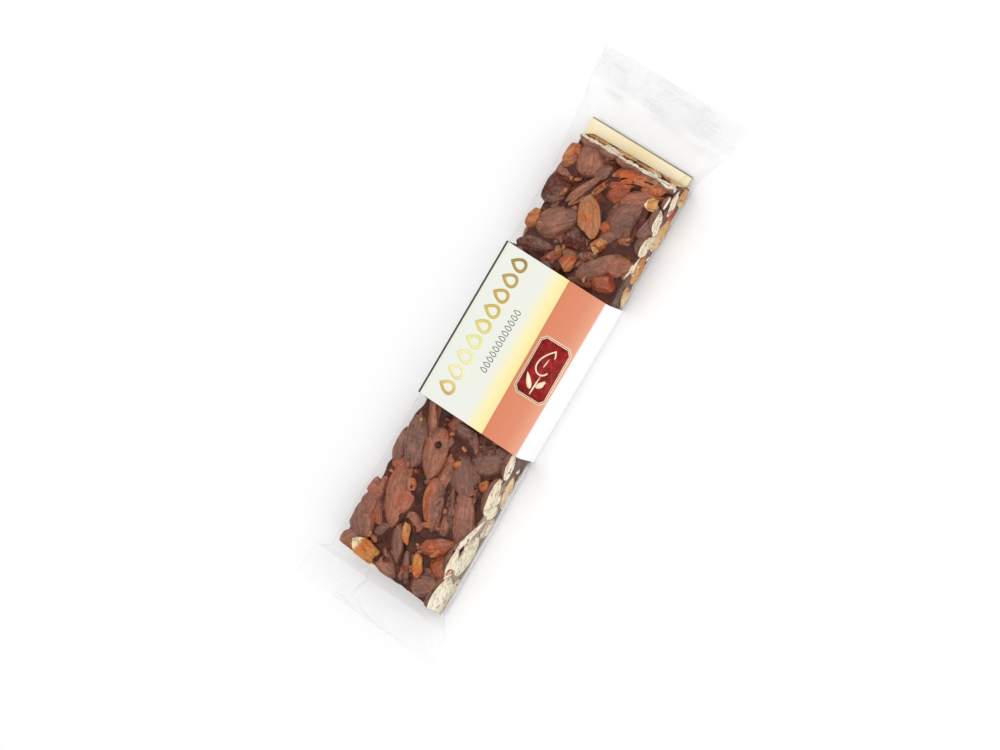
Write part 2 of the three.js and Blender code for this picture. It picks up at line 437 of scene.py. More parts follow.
# %% Caramel: dark and glassy, with amber spots painted in as light shining through it
def caramel_material():
    material, tree, shader = new_material("caramel")
    place = mark(tree, "grain", "Vector")
    depth = mottled(tree, place, 3.2, 0.35)
    streaks = grooved(tree, place, 0.9, 3.0)
    # Painted light: the bright amber end of this ramp, at random spots, stands in for light shining through
    # thin caramel. The dark end is the caramel's own colour.
    amber = ramp(
        tree, depth,
        (0.0, 42, 17, 9), (0.42, 66, 31, 17), (0.56, 88, 40, 18), (0.68, 134, 62, 22), (0.8, 184, 102, 36),
    )
    dark = blend(tree, times(tree, streaks["Valley"], 0.5), amber, rgb(44, 18, 8))
    # The cut mark paints the knife's face pale. It is kept low near the band, which leaves painted shade
    # there.
    scraped = times(tree, mark(tree, "cut"), times(tree, depth, 1.4, 0.1))
    set_inputs(tree, shader, {
        "Base Color": blend(tree, scraped, dark, rgb(192, 170, 152)),
        "Roughness": times(tree, depth, 0.3, 0.12),
        "Specular IOR Level": 0.16,
        "Coat Weight": 0.14,
        "Coat Roughness": 0.12,
        "Normal": bump(tree, streaks["Height"], 0.35, 0.2),
    })
    return material


caramel = caramel_material()

# %% [markdown]
# ## Where the almonds lie
#
# The two windows of the wrap show the bar on both sides of its band. Each almond that shows is
# one row: its place, its length and width, the way its pointed end looks (degrees from X), how
# far it is rolled on its side, and how high its top stands. `tone` runs from purple-brown
# through red to tan for its skin, and `toast` from cream to dark orange for its heart. Below
# them a seeded draw fills the gaps with low nuts that are half sunk in the caramel.

# %% The rows of almonds in both windows
Row = namedtuple("Row", "x y length width turn roll top tone kind toast", defaults=("whole", 0.6))

near_window = [
    Row(-9.7, -59.8, 24.5, 12.4, -72, 0, 13.3, 0.6),
    Row(-6.2, -42.7, 18.5, 10, -72, 0, 13.1, 0.55),
    Row(-15.0, -41.8, 20, 9.5, 114, 12, 12.7, 0.32),
    Row(-13.4, -32.8, 14, 6, -62, 65, 12.4, 0.55),
    Row(-19.0, -47.0, 14, 7, -70, 20, 11.5, 0.38),
    Row(2.9, -57.1, 18.5, 8, -64, -20, 12.9, 0.56, "striped", 0.8),
    Row(8.3, -44.4, 17.5, 11, -42, 0, 12.9, 0.34, "wrinkled"),
    Row(12.8, -33.8, 16, 10.5, 47, 0, 13.0, 0.27),
    Row(14.3, -56.0, 20, 9.5, -62, 15, 12.7, 0.46),
    Row(8.9, -55.4, 17, 6, -62, 75, 11.9, 0.25),
    Row(12.3, -68.0, 15, 7, 38, 25, 12.8, 0.68),
    Row(0.4, -69.9, 9.0, 3.2, -58, 0, 12.7, 0.86, "split"),
    Row(9.9, -76.9, 9.0, 4.2, -62, 0, 12.6, 0.86, "split", 0.64),
    Row(-9.0, -82.4, 13.5, 8.2, 170, 0, 12.9, 0.85, "half", 0.62),
    Row(-16.8, -75.4, 14, 9.5, -52, 0, 12.4, 0.42),
    Row(-17.0, -82.4, 9, 7.5, 60, 0, 12.0, 0.46),
    Row(-18.0, -68.8, 9, 7, 100, 0, 11.9, 0.5),
    Row(-6.6, -55.3, 5.4, 3.8, -60, 0, 13.4, 0.88, "flake"),
    Row(-6.1, -39.5, 1.1, 0.8, 0, 0, 13.3, 0.08),
    Row(-18.8, -63.6, 10, 8.5, 20, 0, 11.6, 0.55, "broken", 0.62),
    Row(-1.7, -74.6, 14, 7, -64, 40, 12.2, 0.3),
    Row(5.3, -79.2, 14, 6, -60, 70, 12.2, 0.3),
    Row(14.6, -81.0, 11, 9, 30, 0, 12.4, 0.4, "wrinkled"),
    Row(-0.8, -83.6, 10, 6, -10, 0, 11.6, 0.44),
    Row(16.8, -73.4, 9, 8, -40, 0, 12.2, 0.66, "broken", 0.8),
    Row(15.6, -42.0, 5.4, 3.8, 60, 0, 12.9, 0.9, "broken", 0.62),
    Row(-1.2, -31.4, 10, 6, 10, 30, 11.6, 0.3),
    Row(4.8, -32.8, 9, 4, -50, 60, 11.7, 0.4),
]

far_window = [
    Row(-11.8, 67.4, 13, 10.5, 121, 0, 12.9, 0.5),
    Row(-17.6, 53.4, 13.5, 11.8, 20, 0, 12.5, 0.13),
    Row(-19.0, 65.6, 9, 7.5, 60, 0, 11.6, 0.8),
    Row(-18.8, 41.2, 8, 7, 30, 0, 12.0, 0.88, "broken"),
    Row(-1.3, 51.4, 16.5, 8.4, 125, 0, 13.2, 0.93, "flake"),
    Row(2.2, 66.2, 15.5, 12.5, 60, -18, 13.6, 0.7, "whole", 0.7),
    Row(4.8, 69.0, 9.5, 4.6, 26, 0, 13.65, 0.85, "split", 0.8),
    Row(2.4, 66.9, 7.5, 1.7, 30, 0, 13.65, 0.0),
    Row(4.0, 65.0, 8.5, 2.2, 34, 0, 13.6, 0.8, "whole", 0.7),
    Row(-2.6, 61.4, 9, 2.4, 66, 0, 12.8, 0.9, "whole", 0.5),
    Row(9.7, 57.0, 17.5, 12.5, 65, 0, 13.0, 0.37),
    Row(11.9, 64.9, 16, 6.6, 35, 20, 13.1, 0.58),
    Row(15.2, 58.6, 15.5, 5.6, -90, 60, 13.1, 0.0),
    Row(18.3, 58.4, 11, 7.5, 80, 30, 12.5, 0.3),
    Row(16.5, 65.2, 6.8, 4.8, 200, 0, 13.4, 0.9, "half", 0.52),
    Row(-10.6, 44.4, 18, 10.5, 45, 0, 12.8, 0.44),
    Row(-2.2, 42.4, 10, 8.5, 0, 0, 12.1, 0.18),
    Row(-13.5, 33.6, 15, 6, 20, 30, 11.9, 0.22),
    Row(-0.2, 34.4, 9, 6, 80, 0, 12.6, 0.82, "broken", 0.56),
    Row(11.4, 39.1, 19.5, 7.5, 50, 20, 12.9, 0.42),
    Row(14.6, 36.2, 12, 10, 20, 0, 12.9, 0.66, "broken", 0.9),
    Row(16.6, 42.3, 10, 7.5, 30, 0, 12.8, 0.6),
    Row(6.4, 44.6, 9, 5, 70, 50, 12.7, 0.8, "broken", 0.5),
    Row(5.6, 51.1, 7, 4, 60, 0, 12.5, 0.7, "broken"),
    Row(-7.8, 58.2, 16, 3.4, 62, 0, 12.8, 0.5),
    Row(-6.2, 57.0, 15, 2.6, 64, 0, 12.5, 1.0),
    Row(-4.5, 65.8, 9, 6, 50, 0, 12.1, 0.4),
    Row(14.2, 69.4, 10, 4.4, 28, 0, 13.3, 0.78, "whole", 0.3),
    Row(10.5, 70.6, 11.5, 4.2, 22, 0, 13.3, 0.9, "flake", 0.36),
    Row(16.0, 72.4, 8, 5, 10, 0, 12.8, 0.5, "whole", 0.2),
]

# %% [markdown]
# ## The shape of one almond
#
# An almond is a flat drop: blunt at one end and pointed at the other. Its points are rings
# round a long axis, whose radius follows a simple power curve. Noise that is stretched along
# the axis raises the wrinkles. A break is made without any cutting tool: points beyond a flat
# plane are pulled back onto it, which leaves a closed mesh with a flat face, and how far a
# point was pulled says whether it now shows the heart. `Nut` keeps the place and turn of each
# one, and an ellipsoid of its size, which the caramel and the film use later.

# %% Build one almond
Nut = namedtuple("Nut", "centre turn semi kind tone toast seed")
flat_tops = {"half": 0.15, "split": 0.3, "flake": 0.55}
hollows = {"half": 0.12, "split": 0.1, "flake": 0.25}
wrinkle_depths = {"whole": 0.2, "wrinkled": 0.5, "flake": 0.14}


def turned(turn, pitch, roll):
    """A turn about Z after a dip of the pointed end after a roll about the long axis."""
    return np.array(
        Matrix.Rotation(math.radians(turn), 3, "Z")
        @ Matrix.Rotation(math.radians(-pitch), 3, "Y")
        @ Matrix.Rotation(math.radians(roll), 3, "X")
    )


def pull_back(points, heart, normal, distance, rough=0.0, clear=0.3):
    """Pulls what is beyond a plane back onto it, and marks it as heart."""
    normal = np.asarray(normal, float)
    beyond = points @ normal - distance
    heart = np.maximum(heart, smooth_step(0.0, clear, beyond))
    uneven = rough * soft_noise(points, 1.3, 5) + 0.6 * rough * soft_noise(points, 0.5, 6)
    points = points - np.outer(np.maximum(beyond - uneven, 0), normal)
    return points, heart


def random_plane(draw, semi, spread):
    """A direction drawn by chance, and how far an ellipsoid reaches along it."""
    tilt = draw.normal(0, 1, 3) * spread
    tilt /= np.linalg.norm(tilt)
    return tilt, np.linalg.norm(semi * tilt)


def almond_points(nut, rings, around):
    """The points of an almond in its own axes, with its heart mark."""
    draw = np.random.default_rng(nut.seed)
    shift = draw.uniform(0, 300, 3)
    share = (1 - np.cos(np.linspace(0, math.pi, rings + 2)[1:-1])) / 2
    girth = share**0.5 * (1 - share) ** 0.7
    belly = share**0.5 * (1 - share) ** 0.5
    girth, belly = girth / girth.max(), belly / belly.max()
    angle = np.linspace(0, 2 * math.pi, around, endpoint=False)
    half_long, half_wide, half_deep = nut.semi
    side = np.outer(girth, np.cos(angle)) * half_wide
    rise = np.outer(belly, np.sign(np.sin(angle)) * np.abs(np.sin(angle)) ** 1.1) * half_deep
    lengthwise = np.repeat((2 * share - 1) * half_long, around)
    points = np.column_stack([lengthwise, side.ravel(), rise.ravel()])
    points = np.vstack([points, [[-half_long, 0, 0], [half_long, 0, 0]]])

    folds = 1 - np.abs(soft_noise(points * (0.15, 1.0, 1.0) + shift, 1.1)) * 2
    dents = 0.055 * half_wide * soft_noise(points + shift, 4.5, 1)
    swell = dents - wrinkle_depths.get(nut.kind, 0.15) * folds
    swell += 0.1 * soft_noise(points + shift, 1.6, 2) * (nut.kind == "wrinkled")
    outward = points * (0.0, 1.0, 1.0)
    outward /= np.maximum(np.linalg.norm(outward, axis=1), 1e-6)[:, None]
    points = points + outward * swell[:, None]
    points[:, 1] += draw.uniform(-0.5, 0.5) * (points[:, 0] / half_long) ** 2

    heart = np.zeros(len(points))
    for _ in range(0 if nut.kind == "cut" else 4):
        tilt, reach = random_plane(draw, nut.semi, (0.25, 1.0, 1.0))
        points, _ = pull_back(points, heart, tilt, reach * draw.uniform(0.82, 0.97), 0.12)
    if nut.kind in flat_tops:
        points, heart = pull_back(points, heart, (0, 0, 1), flat_tops[nut.kind] * half_deep, 0.25)
        bowl = 1 - (points[:, 0] / half_long / 0.8) ** 2 - (points[:, 1] / half_wide / 0.7) ** 2
        points[:, 2] -= heart * half_deep * hollows[nut.kind] * np.maximum(bowl, 0)
    if nut.kind == "flake":
        heart *= 0.2
    if nut.kind == "half":
        points, heart = pull_back(points, heart, (-1, 0, 0), 0.5 * half_long, 0.5)
    torn = nut.kind == "broken"
    for _ in range(5 if torn or nut.kind in flat_tops else 0):
        tilt, reach = random_plane(draw, nut.semi, (1.0, 0.8, 0.5 * torn))
        reach *= draw.uniform(0.45, 0.8) if torn else draw.uniform(0.72, 0.95)
        points, bared = pull_back(points, heart, tilt, reach, 0.2 if torn else 0.35)
        heart = heart if nut.kind == "flake" else bared
    return points, heart, shift


# %% [markdown]
# ## Cutting the bar
#
# A knife has cut the bar along one side and across its far end, so nuts that reach past those
# planes end there in a flat, pale, slightly torn section. The other side was cast against a
# mould, and its nuts only bulge.


# %% The knife cuts
cut_foot, cut_height = 1.0, 12.0


def knife_lean(y):
    """How far the top of the long cut stands back from its foot."""
    return np.where(np.asarray(y) < 0, 2.0, 0.9)


def set_back(y, z):
    """How far the long cut stands back from its foot at this height."""
    return knife_lean(y) * (z - cut_foot) / cut_height


def long_cut(y):
    """The plane of the long cut: its outward direction and its distance."""
    lean = float(knife_lean(y))
    outward = np.array([cut_height, 0.0, lean]) / math.hypot(cut_height, lean)
    return outward, outward @ (cut_side, 0.0, cut_foot)


far_skew, far_slope = 0.02, 0.22
far_cut = np.array([-far_skew, 1.0, far_slope]) / math.hypot(far_skew, 1.0, far_slope)
far_rim = np.array([0.0, 0.62, 0.78])
far_reach = far_cut @ (0.0, bar_far, cut_foot)
near_skew, near_slope = 0.045, 0.09
near_end = np.array([-near_skew, -1.0, near_slope]) / math.hypot(near_skew, 1.0, near_slope)
near_reach = near_end @ (0.0, bar_near, cut_foot)


# %% Place nuts and trim them at the knife cuts
def lying(row, seed, pitch=0.0):
    """A nut that lies in the top of the bar."""
    share_deep = {"flake": 0.4, "broken": 0.7}.get(row.kind, 0.61)
    semi = np.array([row.length, row.width, row.width * share_deep]) / 2
    turn = turned(row.turn, pitch, row.roll)
    crown = np.linalg.norm(turn[2] * semi)
    toast = 0.12 if row.x > 11 and row.kind in ("whole", "wrinkled") else row.toast
    if row.kind in flat_tops:
        crown = flat_tops[row.kind] * semi[2]
    return Nut(np.array([row.x, row.y, row.top - crown]), turn, semi, row.kind, row.tone, toast, seed)


Section = namedtuple("Section", "place z length height tilt toast")

side_sections = [
    Section(-32.0, 11.0, 12, 4.6, 20, 0.04),
    Section(-36.0, 2.4, 4.4, 1.8, 6, 0.3),
    Section(-44.1, 10.2, 14.2, 6.2, 18, 0.14),
    Section(-41.2, 3.9, 13.6, 4.8, 22, 0.3),
    Section(-49.1, 5.9, 5.6, 4.5, -10, 0.06),
    Section(-59.0, 10.4, 17.0, 3.2, -26, 0.04),
    Section(-54.5, 3.3, 8.2, 4.8, -8, 0.02),
    Section(-61.0, 7.6, 4.0, 2.2, -20, 0.4),
    Section(-69.6, 11.2, 11.6, 5.4, 17, 0.1),
    Section(-65.9, 5.4, 15.2, 7.4, 0, 0.02),
    Section(-81.6, 7.0, 15.0, 11.0, 10, 0.0),
    Section(-86.2, 3.0, 6.5, 5.6, -10, 0.03),
    Section(-77.4, 2.8, 7.0, 3.8, 0, 0.06),
    Section(70.6, 9.2, 6.0, 2.6, 0, 0.04),
    Section(68.0, 12.2, 5.0, 1.8, 0, 0.05),
    Section(61.6, 11.7, 8.6, 4.8, 31, 0.04),
    Section(52.0, 9.6, 7.6, 6.6, 14, 0.14),
    Section(57.9, 4.3, 12.8, 6.6, -1, 0.44),
    Section(72.0, 4.4, 7.6, 4.8, 19, 0.5),
    Section(65.4, 5.2, 5.2, 4.4, -22, 0.9),
    Section(44.3, 5.3, 10.8, 5.6, 9, 0.56),
    Section(44.3, 9.8, 9.4, 1.6, -17, 0.06),
    Section(34.4, 4.0, 8.6, 4.6, 38, 0.42),
]


def across_the_cut(section, seed):
    """A nut on edge that the long cut goes through at its widest."""
    semi = np.array([section.length, section.height, 0.7 * section.height + 2.0]) / 2
    across = cut_side - 0.2 - set_back(section.place, section.z)
    centre = np.array([across, section.place, section.z])
    return Nut(centre, turned(90, section.tilt, 90), semi, "cut", 0.35, section.toast, seed)


def across_the_end(x, z, length, height, tilt, toast, seed):
    """A nut on edge that the cut across the far end goes through."""
    semi = np.array([length, height, 0.7 * height + 2.0]) / 2
    back = bar_far - 0.2 - far_slope * (z - cut_foot) + far_skew * x
    return Nut(np.array([x, back, z]), turned(180, tilt, 90), semi, "cut", 0.35, toast, seed)


def trim(points, heart, nut):
    """Ends a placed nut at the two cuts, and keeps it inside the film and off the card."""
    outward, reach = long_cut(nut.centre[1])
    rim_reach = far_rim @ (0.0, bar_far - 1.7, 12.6)
    knives = ((outward, reach + 0.1, 0.14), (far_cut, far_reach + 0.08, 0.3), (far_rim, rim_reach, 0.45))
    for normal, distance, rough in knives:
        points, heart = pull_back(points, heart, normal, distance, rough)
    film, near_film = ((-1, 0, 0), bag_half - 0.5), (near_end, near_reach + 0.2)
    ceiling, card = ((0, 0, 1), bag_top - 0.3), ((0, 0, -1), -bar_bottom)
    for normal, distance in (film, near_film, ceiling, card):
        points, _ = pull_back(points, heart, normal, distance)
    return points, heart


# %% Gather the nuts that show
draw = np.random.default_rng(41)
top_nuts = [lying(row, 100 + i, draw.uniform(-6, 6)) for i, row in enumerate(near_window + far_window)]
side_nuts = [across_the_cut(section, 300 + i) for i, section in enumerate(side_sections)]
upper_spots = [(-14.4, 11.4), (-7.4, 11.4), (0.4, 11.7), (8.4, 11.4), (16.2, 11.6)]
lower_spots = [(-14, 6.0), (-4, 5.4), (6, 6.2), (15, 5.0)]
end_nuts = []
for x, z in upper_spots + lower_spots:
    length, height, tilt = draw.uniform(8.5, 10.5), draw.uniform(3.8, 4.8), draw.uniform(-6, 6)
    # The lower row's hearts are made darker and more orange as painted shade and the card's warm reflection
    # at the foot of the far end.
    toast = draw.uniform(0, 0.2) + (0.38 if (x, z) in lower_spots else 0)
    end_nuts.append(across_the_end(x, z, length, height, tilt, toast, 400 + len(end_nuts)))


# %% Gather the low nuts between and beside them
def sunk_nuts():
    """Low nuts in the gaps, by a jittered grid over each window."""
    found = []
    for start, end in ((bar_near + 5, band_start + 3), (band_end - 3, bar_far - 5)):
        for y in np.arange(start, end, 8.0):
            for x in np.arange(-14.5, 17, 7.5):
                place = x + draw.uniform(-2.5, 2.5), y + draw.uniform(-3, 3)
                size = draw.uniform(11, 17), draw.uniform(6, 9)
                turn, roll, top = draw.uniform(0, 360), draw.uniform(-35, 35), draw.uniform(10.2, 11.2)
                row = Row(*place, *size, turn, roll, top, draw.uniform(0.15, 0.7), toast=0.2)
                found.append(lying(row, int(draw.integers(1000, 9999)), draw.uniform(-12, 12)))
    return found


def bulging(x, y, lengths, widths, turns, heights):
    """A nut on edge at the side of the bar, with the rest drawn from these ranges."""
    length, width, turn = (draw.uniform(*span) for span in (lengths, widths, turns))
    row = Row(x, y, length, width, turn, 90, 0.0, draw.uniform(0.2, 0.6))
    nut = lying(row, int(draw.integers(1000, 9999)))
    nut.centre[2] = draw.uniform(*heights)
    return nut


def mould_nuts():
    """Nuts that bulge from the cast side and the near end."""
    found = []
    for y in np.arange(bar_near + 6, bar_far - 4, 9.0):
        if y <= band_start + 3 or y >= band_end - 3:
            place = mould_side + 2.6, y + draw.uniform(-2, 2)
            found.append(bulging(*place, (12, 17), (6, 8.5), (60, 120), (4.5, 7.5)))
    for x in np.arange(-15, 16, 7.5):
        found.append(bulging(x, bar_near + 3.2, (9, 13), (5, 7), (-20, 20), (4, 8)))
    return found


low_nuts = sunk_nuts() + mould_nuts()
print(f"{len(top_nuts)} almonds on top, {len(side_nuts) + len(end_nuts)} cut, {len(low_nuts)} low ones")


# %% Join each kind of nut into one piece
def nut_piece(name, nuts, rings, around):
    """All nuts of one kind as one mesh, each with its own tone and its own wrinkles."""
    points, faces = [], []
    marks = {"heart": [], "tone": [], "toast": [], "grain": []}
    count = rings * around + 2
    template = closed_tube_faces(rings, around)
    for number, nut in enumerate(nuts):
        local, heart, shift = almond_points(nut, rings, around)
        placed, heart = trim(local @ nut.turn.T + nut.centre, heart, nut)
        points.append(placed)
        faces += [[p + number * count for p in face] for face in template]
        lengthwise, sideways = local[:, 0] / nut.semi[0], local[:, 1] / nut.semi[1]
        pale_end = smooth_step(0.35, 0.75, lengthwise) * (nut.kind == "half")
        marks["heart"].append(heart)
        marks["tone"].append(nut.tone - 0.34 * sideways * (nut.kind == "striped"))
        marks["toast"].append(nut.toast + 0.1 * lengthwise - 0.5 * pale_end)
        marks["grain"].append(local + shift)
    marks = {label: np.concatenate(values) for label, values in marks.items()}
    return make_piece(name, np.vstack(points), faces, [almond], marks)


whole_kinds = ("whole", "wrinkled", "striped")
nut_piece("almonds_whole", [nut for nut in top_nuts if nut.kind in whole_kinds], 36, 56)
nut_piece("almonds_broken", [nut for nut in top_nuts if nut.kind not in whole_kinds], 34, 52)
nut_piece("almonds_cut", side_nuts + end_nuts, 34, 56)
nut_piece("almonds_sunk", low_nuts, 20, 30)

# %% [markdown]
# ## The caramel
#
# Molten caramel wets every nut it meets, so it climbs a little way up each one and leaves a
# smooth hollow between two of them. To get that, each point of a plain bar is pushed outwards
# until it meets a soft maximum of two things: the bar's own rough surface, and the ellipsoid of
# every nut nearby, a little smaller than the nut, so that the nut's crown stays bare.

# %% How far out the nuts reach
def soft_reach(points, outward, nuts, base, inset, sharp=2.6):
    """How far along outward the surface lies from each point: a soft maximum of base and the nuts."""
    total = np.exp(sharp * base)
    for nut in nuts:
        centre = nut.centre
        if nut.kind in flat_tops:
            centre = centre - (0, 0, (1 - flat_tops[nut.kind]) * nut.semi[2])
        offset = points - centre
        near = np.einsum("ij,ij->i", offset, offset) < (nut.semi.max() + 4) ** 2
        if not near.any():
            continue
        semi = np.maximum(nut.semi * (0.75 if nut.kind == "broken" and inset > 0 else 1.0) - inset, 0.8)
        away = (offset[near] @ nut.turn) / semi
        heading = (outward[near] @ nut.turn) / semi
        a = np.einsum("ij,ij->i", heading, heading)
        b = np.einsum("ij,ij->i", heading, away)
        inside = b * b - a * (np.einsum("ij,ij->i", away, away) - 1)
        distance = (-b + np.sign(inside) * np.sqrt(np.abs(inside))) / a
        total[near] += np.exp(sharp * np.clip(distance, -8, 6))
    return np.log(total) / sharp


def rise_over(points, nuts, base, inset, sharp=2.6):
    """How high that surface stands straight above each point."""
    upward = np.tile([0.0, 0.0, 1.0], (len(points), 1))
    return soft_reach(points, upward, nuts, np.full(len(points), base), inset, sharp)


# %% Sweep a rounded rectangle along the pack
def box_outline(left, right, bottom, top, corner, spans):
    """Points and outward directions round a rounded rectangle, anticlockwise seen along -Y."""
    xs, zs = (left + corner, right - corner), (bottom + corner, top - corner)
    centres = [(xs[1], zs[1]), (xs[0], zs[1]), (xs[0], zs[0]), (xs[1], zs[0])]
    steps_along = (spans[0], spans[1], max(6, spans[0] // 10), spans[1])
    places, directions = [], []
    for side, (x, z) in enumerate(centres):
        for step in range(4):
            angle = math.pi / 2 * (side + step / 4)
            places.append((x + corner * math.cos(angle), z + corner * math.sin(angle)))
            directions.append((math.cos(angle), math.sin(angle)))
        angle = math.pi / 2 * (side + 1)
        direction = (math.cos(angle), math.sin(angle))
        start = np.array([x, z]) + corner * np.array(direction)
        end = np.array(centres[(side + 1) % 4]) + corner * np.array(direction)
        for share in np.arange(steps_along[side]) / steps_along[side]:
            places.append(tuple(start + (end - start) * share))
            directions.append(direction)
    return np.array(places), np.array(directions)


def swept(section, stations):
    """The (x, z) rows of a section repeated at each station along Y."""
    x, z = np.tile(section, (len(stations), 1)).T
    return np.column_stack([x, np.repeat(stations, len(section)), z])


def swept_faces(rings, around):
    """The faces of a swept section with both its ends closed."""
    return [face[::-1] for face in closed_tube_faces(rings, around)]


# %% The caramel bar
end_shares = [0.985, 0.95, 0.88, 0.78, 0.66, 0.52, 0.36, 0.18]


def end_rings(ring, outward):
    """Ever smaller rings that close an end of the bar with a rough face, and its middle point."""
    middle = np.array([0.7, ring[:, 1].mean(), (bar_bottom + caramel_level) / 2])
    rings = [middle + (ring - middle) * share for share in end_shares]
    for inner in rings:
        inner[:, 1] += outward * (0.25 * soft_noise(inner, 2.0, 10) - 0.15)
    return rings, middle


def caramel_bar():
    section, directions = box_outline(mould_side, cut_side, bar_bottom, caramel_level, 1.2, (128, 26))
    count, fine, coarse = len(section), 0.33, 6.0
    stations = np.concatenate([
        np.arange(bar_near + 0.5, band_start + 1, fine),
        np.arange(band_start + 1 + coarse, band_end - 1, coarse),
        np.arange(band_end - 1, bar_far - 0.4, fine),
    ])
    base = swept(section, stations)
    outward = swept(directions, 0 * stations)
    rough = 0.7 * soft_noise(base, 5.0, 7) + 0.35 * soft_noise(base, 1.9, 8) - 0.2
    pushed = soft_reach(base, outward, top_nuts + low_nuts, rough, 0.85)
    knife = smooth_step(0.2, 0.9, outward[:, 0])
    underside = smooth_step(0.2, 0.9, -outward[:, 2])
    cut_face = -0.36 + 0.14 * soft_noise(base, 1.4, 9)
    pushed = pushed * (1 - knife) * (1 - underside) + cut_face * knife
    x, y, z = (base + outward * pushed[:, None]).T
    x = np.minimum(x, cut_side - 0.02 - set_back(y, z))
    x = np.maximum(x, -bag_half + 0.55)
    z = np.clip(z, bar_bottom, bag_top - 0.45)
    near_slant = smooth_step(bar_near + 6, bar_near, y) * (near_slope * (z - cut_foot) - near_skew * x)
    far_slant = smooth_step(bar_far - 6, bar_far, y) * (far_skew * x - far_slope * (z - cut_foot))
    points = np.column_stack([x, y + near_slant + far_slant, z])

    near_rings, near_middle = end_rings(points[:count], -1.0)
    far_rings, far_middle = end_rings(points[-count:], 1.0)
    points = np.vstack([*near_rings[::-1], points, *far_rings, near_middle, far_middle])
    extra = len(end_shares) * count
    # The pale scraped colour is kept low near the band, so the caramel there stays dark as painted shade.
    cut = knife * np.interp(y, [-43, -35, 0], [0.8, 0.2, 0.1])
    marks = {"grain": points, "cut": np.concatenate([np.zeros(extra), cut, np.zeros(extra + 2)])}
    faces = swept_faces(len(points) // count, count)
    return make_piece("caramel_bar", points, faces, [caramel], marks)


caramel_bar()

# %% [markdown]
# ## Crumbs
#
# Chopping leaves crumbs, and they stick in the hollows between the nuts and along the cut. A
# seeded draw picks their places, and the same soft surface as before says how high the caramel
# is there. Each crumb is a very small broken nut.

# %% Scatter the crumbs
def crumb_nuts():
    """Crumbs between the nuts of both windows, and some along the long cut."""
    windows = ((bar_near + 2, band_start - 1, 75), (band_end + 1, bar_far - 4, 60))
    spots = [
        (draw.uniform(-17.5, 18), draw.uniform(low, high), caramel_level)
        for low, high, number in windows
        for _ in range(number)
    ]
    found = []
    for (x, y, _), up in zip(spots, rise_over(np.array(spots), top_nuts + low_nuts, 0.0, 0.7)):
        if up > 1.5:
            continue
        size = draw.uniform(0.7, 1.6)
        turn = turned(draw.uniform(0, 360), draw.uniform(-30, 30), draw.uniform(0, 360))
        semi = np.array([size * draw.uniform(1.0, 2.2), size, size * 0.7])
        place = np.array([x, y, min(caramel_level + up + 0.1, 12.6)])
        tone, toast = draw.choice([0.1, 0.3, 0.5, 0.9]), draw.choice([0.56, 0.64, 0.72, 0.95])
        found.append(Nut(place, turn, semi, "broken", tone, toast, int(draw.integers(1e4, 1e5))))
    for low, high, number in windows:
        for _ in range(number // 5):
            y, z = draw.uniform(low, high), draw.uniform(2.5, 12.0)
            place = np.array([cut_side - 0.45 - set_back(y, z), y, z])
            size = draw.uniform(0.5, 1.3)
            semi = np.array([size * draw.uniform(1.0, 2.4), size, size])
            turn = turned(90 + draw.uniform(-20, 20), draw.uniform(-60, 60), 90)
            toast = draw.choice([0.0, 0.1, 0.3] if y < 0 else [0.1, 0.5, 0.7])
            found.append(Nut(place, turn, semi, "cut", 0.4, toast, int(draw.integers(1e4, 1e5))))
    return found


nut_piece("crumbs", crumb_nuts(), 9, 14)

# %% [markdown]
# ## The tray card
#
# The bar rests on a strip of card with a pale gold face, a little longer than the bar, so that it
# shows beyond the far end. It is a thin slab whose free end is bent up slightly, with a grey
# cut edge, a grey-brown strip of painted shade along its right margin, and a faint crease
# near its right corner that is painted a little darker as shade.


# %% Gold card
def card_material():
    material, tree, shader = new_material("gold_card")
    place = node(tree, "ShaderNodeTexCoord").outputs["Object"]
    fibres = mottled(tree, place, 3.0 * MM, 0.7)
    gold = ramp(tree, mottled(tree, place, 14.0 * MM, 0.1), (0.35, 255, 236, 184), (0.6, 255, 245, 208))
    # The edge mark paints the card's cut edge grey. It also paints shade along the right margin of its face
    # and in its crease.
    edge = mark(tree, "edge")
    board = ramp(tree, edge, (0.5, 176, 170, 156), (1.0, 92, 82, 64))
    face = blend(tree, above(tree, edge, 0.0, 0.5), gold, board)
    set_inputs(tree, shader, {
        "Base Color": blend(tree, times(tree, fibres, 0.12), face, rgb(226, 190, 120)),
        "Roughness": times(tree, fibres, 0.2, 0.3),
    })
    return material


def tray_card():
    section, _ = box_outline(-card_half, card_half, card_low, card_high, 0.18, (90, 2))
    hidden = np.arange(bar_near - 0.6, bar_far - 4, 4.0)
    stations = np.concatenate([hidden, np.linspace(bar_far - 4, card_far, 44)])
    x, y, z = swept(section, stations).T
    askew = np.interp(y, [bar_near, card_far], [0.9, -1.75])
    # Along the right margin the face is painted grey-brown, as shade where the film gathers at the card's
    # edge. The crease is painted darker as shade too.
    margin = np.interp(y, [bar_far - 1, bar_far + 1], [19.5, 20.5])
    edge = 0.5 * smooth_step(margin, margin + 0.3, x)
    x = x + askew
    free = smooth_step(bar_far - 2, card_far, y)
    crease = np.exp(-((x - 15.5 - 0.5 * (y - bar_far)) / 0.5) ** 2)
    flat = np.column_stack([x, y, 0 * z])
    z = z + free * (0.35 + 0.25 * soft_noise(flat, 9.0, 12) + 0.3 * crease)
    edge = np.maximum.reduce([edge, smooth_step(card_far - 0.5, card_far - 0.25, y), 0.2 * free * crease])
    middle = (card_low + card_high) / 2
    ends = [[askew[0], stations[0], middle], [askew[-1], stations[-1], middle + 0.35]]
    points = np.vstack([np.column_stack([x, y, z]), ends])
    faces = swept_faces(len(stations), len(section))
    marks = {"edge": np.append(edge, [1.0, 1.0])}
    return make_piece("tray_card", points, faces, [card_material()], marks)


tray_card()

